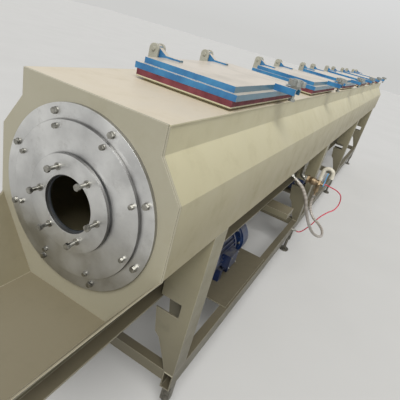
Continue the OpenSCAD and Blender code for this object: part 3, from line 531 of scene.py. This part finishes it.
def addTube(shape, points, radius, sides=8, ripple=0.0, pitch=6.0):  # points in mm, ripples for a weld
    points = [Vector(q) for q in points]
    step = pitch / 3 if ripple else 30
    stations = []
    travelled = 0.0
    for a, b in zip(points, points[1:]):
        length = (b - a).length
        way = (b - a).normalized()
        count = max(1, round(length / step))
        for k in range(count):
            stations.append((a.lerp(b, k / count), way, travelled + length * k / count))
        travelled += length
    stations.append((points[-1], way, travelled))
    rings = []
    for place, way, run in stations:
        side = way.cross(Vector((0.31, 0.52, 0.79))).normalized()  # any lean that no tube here lies along
        up = side.cross(way)
        reach = radius * (1 + ripple * math.sin(2 * math.pi * run / pitch))
        ring = []
        for k in range(sides):
            turn = 2 * math.pi * k / sides
            spot = place + reach * (math.cos(turn) * side + math.sin(turn) * up)
            ring.append(shape.verts.new(atTank(*spot)))
        rings.append(ring)
    for low, high in zip(rings, rings[1:]):
        for k in range(sides):
            n = (k + 1) % sides
            shape.faces.new((low[k], high[k], high[n], low[n]))
    shape.faces.new(rings[0])
    shape.faces.new(list(reversed(rings[-1])))


def circlePoints(x, y, z, radius, count):  # closed circle in mm that faces the entry end
    turns = [2 * math.pi * k / count for k in range(count + 1)]
    return [(x, y + radius * math.cos(a), z + radius * math.sin(a)) for a in turns]


def addPad(shape, low, high, bevel=1.5):  # box between two corners in mm with rounded edges
    made = bmesh.ops.create_cube(shape, size=1)["verts"]
    a, b = atTank(*low), atTank(*high)
    for vert in made:
        vert.co = Vector([(a[i] + b[i]) / 2 + vert.co[i] * (b[i] - a[i]) for i in range(3)])
    edges = [edge for edge in shape.edges if edge.verts[0] in made]  # in the order they were made
    bmesh.ops.bevel(shape, geom=edges, offset=bevel / 1000, segments=2, affect="EDGES")


def putPiece(name, shape, slot, body="tank", material=None, smooth=False):
    data = bpy.data.meshes.new(name)
    bmesh.ops.recalc_face_normals(shape, faces=shape.faces)
    shape.to_mesh(data)
    shape.free()
    for face in data.polygons:
        face.use_smooth = smooth
    data.materials.append(material or finish[slot])
    piece = bpy.data.objects.new(name, data)
    bpy.context.scene.collection.objects.link(piece)
    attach(piece, body)
    return piece


# Weld beads: round both end plates, and where the legs stand on the lower tubes

welds = {
    "radius": 2.2, "ripple": 0.16,
    "outline": ((150, 691), (277, 908), (277, 1111), (210, 1202), (210, 1266)),  # half of an end plate's edge
    "legs": 4, "legSize": 96, "legBeadFrom": 275, "legBeadTo": 240,
}


def makeWelds():
    shape = bmesh.new()
    tankEnd = fromTank(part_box("exit_plate")[0]).x
    for x in (0.5, tankEnd - 0.5):
        for side in (-1, 1):
            bead = [(x, side * y, z) for y, z in welds["outline"]]
            addTube(shape, bead, welds["radius"], 8, welds["ripple"])
    legLow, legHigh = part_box("legs_near")
    tubeTop = fromTank(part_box("tube_near")[1]).z
    first = fromTank(legLow).x
    last = fromTank(legHigh).x
    pitch = (last - first - welds["legSize"]) / (welds["legs"] - 1)
    for k in range(welds["legs"]):
        x = first + k * pitch
        for side in (-1, 1):
            for edge in (x + 1, x + welds["legSize"] - 1):
                bead = [(edge, side * y, tubeTop + 1) for y in (welds["legBeadFrom"], welds["legBeadTo"])]
                addTube(shape, bead, welds["radius"], 8, welds["ripple"])
    putPiece("weld_beads", shape, "frame_paint", material=plateCream, smooth=True)


makeWelds()
print("welds laid")


# Hose clamps: a band with its worm screw on both ends of the clear hose, ferrules on the red one

bands = {
    "inner": 9.1, "outer": 10.6, "width": 9, "fromEnd": 16,
    "screw": 3.2, "screwLength": 16, "screwHead": 4,
    "ferrule": ((4.2, -2), (5.6, -2), (5.6, 9), (4.2, 11)),  # (radius, along) pairs
}


def makeBands():
    shape = bmesh.new()
    down = Vector((0, 0, -1))
    wide = bands["width"] / 2
    neck = bands["screwLength"] - bands["screwHead"]
    head = bands["screw"] * 1.4
    for place, way in ((hoseTail + bands["fromEnd"] * down, down),
                       (nippleEnd + bands["fromEnd"] * wallNormal, -wallNormal)):
        addLathe(shape, place, way, ((bands["inner"], -wide), (bands["outer"], -wide),
                                     (bands["outer"], wide), (bands["inner"], wide)))
        across = way.cross(Vector((1, 0, 0))).normalized()
        along = across.cross(way).normalized()
        start = place + across * (bands["outer"] + 2) - along * bands["screwLength"] / 2
        addLathe(shape, start, along, ((bands["screw"], 0), (bands["screw"], neck), (head, neck),
                                       (head, bands["screwLength"])), 12)
    for point in (redHose["points"][0], redHose["points"][-1]):
        addLathe(shape, point, (0, -1, 0), bands["ferrule"], 16)
    putPiece("hose_clamps", shape, "zinc_steel")


makeBands()
print("hose clamps on")


# Valve: hexagons for the spanner at both ends of its body, and the gland nut on its stem

valveLook = {
    "height": 670, "inlet": -244, "outlet": -344, "across": 54, "wide": 17, "chamfer": 2,
    "gland": 19, "glandHeight": 7,
}


def makeValveHexagons():
    shape = bmesh.new()
    radius = valveLook["across"] / math.sqrt(3)
    wide, chamfer = valveLook["wide"], valveLook["chamfer"]
    for y, way in ((valveLook["inlet"], -1), (valveLook["outlet"] + 1, 1)):
        addLathe(shape, (valveX, y, valveLook["height"]), (0, way, 0),
                 ((radius * 0.92, 0), (radius, chamfer), (radius, wide - chamfer), (radius * 0.92, wide)), 6)
    addHexHead(shape, (valveX, valveLook["outlet"], valveLook["height"]), (0, -1, 0),
               valveLook["gland"], valveLook["glandHeight"])
    putPiece("valve_hexagons", shape, "valve_brass")


makeValveHexagons()
print("valve dressed")


# Motors: fan grille, terminal box lid with its gland and screws, and lifting eye

motorLook = {
    "reach": 108,  # shaft line below and beside the motor's highest and farthest points
    "grille": (16, 25, 34, 43), "wire": 1.6, "spokes": 8, "spokeFrom": 9, "spokeTo": 47,
    "hub": ((10, 0), (10, 2), (8, 4), (2, 5)),
    "boxFrom": 113, "boxLength": 96, "boxOut": 138, "boxHalf": 36, "lid": 5, "lidLap": 3,
    "gland": ((14, 0), (14, 6), (11, 7), (11, 14), (13, 15), (12, 22), (6, 27)), "glandIn": 24,
    "eyeAlong": 150, "eyeFoot": 88, "eyeHeight": 126, "eyeRadius": 15, "eyeWire": 4.5,
    "eyeBase": ((13, 0), (13, 20), (9, 23), (7, 26)),
    "screwIn": 5, "screwAcross": 8, "screwHeight": 5,
}


def shaftLine(number):  # the motor's fan end on its shaft line
    low, high = (fromTank(corner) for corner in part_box("pump_%d_motor" % number))
    return low.x, high.y - motorLook["reach"], high.z - motorLook["reach"]


def makeMotorDetails(number):
    look = motorLook
    x0, y0, z0 = shaftLine(number)
    shape = bmesh.new()
    for radius in look["grille"]:
        addTube(shape, circlePoints(x0 - 1, y0, z0, radius, 36), look["wire"], 6)
    for k in range(look["spokes"]):
        a = 2 * math.pi * k / look["spokes"]
        spoke = [(x0 - 1, y0 + radius * math.cos(a), z0 + radius * math.sin(a))
                 for radius in (look["spokeFrom"], look["spokeTo"])]
        addTube(shape, spoke, look["wire"], 6)
    addLathe(shape, (x0, y0, z0), (-1, 0, 0), look["hub"])
    boxX, boxY = x0 + look["boxFrom"], y0 - look["boxOut"]
    half, lap = look["boxHalf"], look["lidLap"]
    addPad(shape, (boxX - lap, boxY - look["lid"], z0 - half - lap),
           (boxX + look["boxLength"] + lap, boxY, z0 + half + lap))
    glandPlace = (boxX + look["glandIn"], boxY + look["glandIn"], z0 - half)
    addLathe(shape, glandPlace, (0, 0, -1), look["gland"], 24)
    eyeX = x0 + look["eyeAlong"]
    addLathe(shape, (eyeX, y0, z0 + look["eyeFoot"]), (0, 0, 1), look["eyeBase"], 24)
    eye = circlePoints(x0, 0, z0 + look["eyeHeight"], look["eyeRadius"], 28)
    eye = [(eyeX + y, y0, z) for x, y, z in eye]  # turned to face the near side
    addTube(shape, eye, look["eyeWire"], 10)
    putPiece("pump_%d_motor_fittings" % number, shape, "motor_paint")
    screws = bmesh.new()
    inset = look["screwIn"]
    for x in (boxX + inset, boxX + look["boxLength"] - inset):
        for z in (z0 - half + inset, z0 + half - inset):
            addHexHead(screws, (x, boxY - look["lid"], z), (0, -1, 0),
                       look["screwAcross"], look["screwHeight"])
    putPiece("pump_%d_motor_screws" % number, screws, "zinc_steel")


for number in (1, 2):
    makeMotorDetails(number)
print("motors fitted out")


# Pump casings: a ring of bolts that clamps the cover

casingLook = {"nose": 60, "lip": 18, "boltCircle": 96, "bolts": 8, "across": 13, "headHeight": 8}


def makeCasingBolts(number):
    look = casingLook
    low, high = (fromTank(corner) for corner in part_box("pump_%d_casing" % number))
    y0, z0 = shaftLine(number)[1:]
    faceX = low.x + look["nose"] - look["lip"]
    shape = bmesh.new()
    for centre in circlePoints(faceX, y0, z0, look["boltCircle"], look["bolts"])[:-1]:
        addHexHead(shape, centre, (-1, 0, 0), look["across"], look["headHeight"])
    putPiece("pump_%d_casing_bolts" % number, shape, "zinc_steel")


for number in (1, 2):
    makeCasingBolts(number)
print("casing bolts in")


# Feet: a hexagon nut on top of each pad, and one up against each stub of the lower tubes

footLook = {"feet": 4, "padRadius": 36, "across": 30, "nutHeight": 14, "tubeY": 257, "pad": 12, "stub": 110}


def makeFootNuts():
    low, high = (fromTank(corner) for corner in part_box("feet"))
    first, last = low.x + footLook["padRadius"], high.x - footLook["padRadius"]
    shape = bmesh.new()
    for k in range(footLook["feet"]):
        x = first + (last - first) * k / (footLook["feet"] - 1)
        for side in (-1, 1):
            for z, way in ((footLook["pad"], 1), (footLook["stub"], -1)):
                addHexHead(shape, (x, side * footLook["tubeY"], z), (0, 0, way),
                           footLook["across"], footLook["nutHeight"])
    putPiece("foot_nuts", shape, "foot_steel")


makeFootNuts()
print("foot nuts on")


# Stage: a pale floor, a grey sky that is paler overhead, a pale backdrop that only the camera, metal and
# glass see, and a wide soft sun from above the entry end's near side

studio = {
    "floor": ((0.3, "#c8c7c4"), (0.7, "#cccbc8")), "floorSize": 60, "floorCloud": 900,
    "sky": ((0.0, "#85868a"), (0.48, "#a9abad"), (0.56, "#dadbdc"), (1.0, "#f4f5f6")),
    "skyStrength": 0.5,
    "backdrop": ((0.5, "#cdcdcb"), (0.62, "#e2e3e4")),
    "sun": 2.6, "sunWidth": 30, "sunWay": (0.58, 0.24, -0.78),
}


def makeFloor():
    data = bpy.data.meshes.new("floor")
    shape = bmesh.new()
    bmesh.ops.create_grid(shape, x_segments=1, y_segments=1, size=studio["floorSize"] / 2)
    shape.to_mesh(data)
    shape.free()
    floor = bpy.data.objects.new("floor", data)
    bpy.context.scene.collection.objects.link(floor)
    material, tree, shader = newMaterial("paleFloor", Roughness=0.7)
    setColour(tree, shader, rampOf(tree, grainOf(tree, studio["floorCloud"], 3), studio["floor"]))
    data.materials.append(material)


def makeSky():  # the machine is lit by the sky, while the camera, metal and glass see the backdrop
    world = bpy.data.worlds.new("softSky")
    bpy.context.scene.world = world
    world.use_nodes = True
    tree = world.node_tree
    where = addNode(tree, "ShaderNodeTexCoord")
    height = addNode(tree, "ShaderNodeSeparateXYZ", {}, Vector=where.outputs["Generated"])
    rise = between(tree, height.outputs["Z"], -1, 1)
    sky = tree.nodes["Background"]
    sky.inputs["Strength"].default_value = studio["skyStrength"]
    tree.links.new(rampOf(tree, rise, studio["sky"]), sky.inputs["Color"])
    backdrop = addNode(tree, "ShaderNodeBackground", {"Strength": 1.0},
                       Color=rampOf(tree, rise, studio["backdrop"]))
    ray = addNode(tree, "ShaderNodeLightPath")
    either = addNode(tree, "ShaderNodeMath", {"operation": "ADD"},
                     in0=ray.outputs["Is Camera Ray"], in1=ray.outputs["Is Glossy Ray"])
    seen = addNode(tree, "ShaderNodeMath", {"operation": "ADD", "use_clamp": True},
                   in0=either.outputs[0], in1=ray.outputs["Is Transmission Ray"])
    both = addNode(tree, "ShaderNodeMixShader", {}, in0=seen.outputs[0],
                   in1=sky.outputs[0], in2=backdrop.outputs[0])
    tree.links.new(both.outputs[0], tree.nodes["World Output"].inputs["Surface"])


def makeSun():
    data = bpy.data.lights.new("softSun", "SUN")
    data.energy = studio["sun"]
    data.angle = math.radians(studio["sunWidth"])
    sun = bpy.data.objects.new("softSun", data)
    sun.rotation_euler = Vector(studio["sunWay"]).to_track_quat("-Z", "Y").to_euler()
    bpy.context.scene.collection.objects.link(sun)


makeFloor()
makeSky()
makeSun()
bpy.context.scene.view_settings.view_transform = "Standard"
print("stage set")
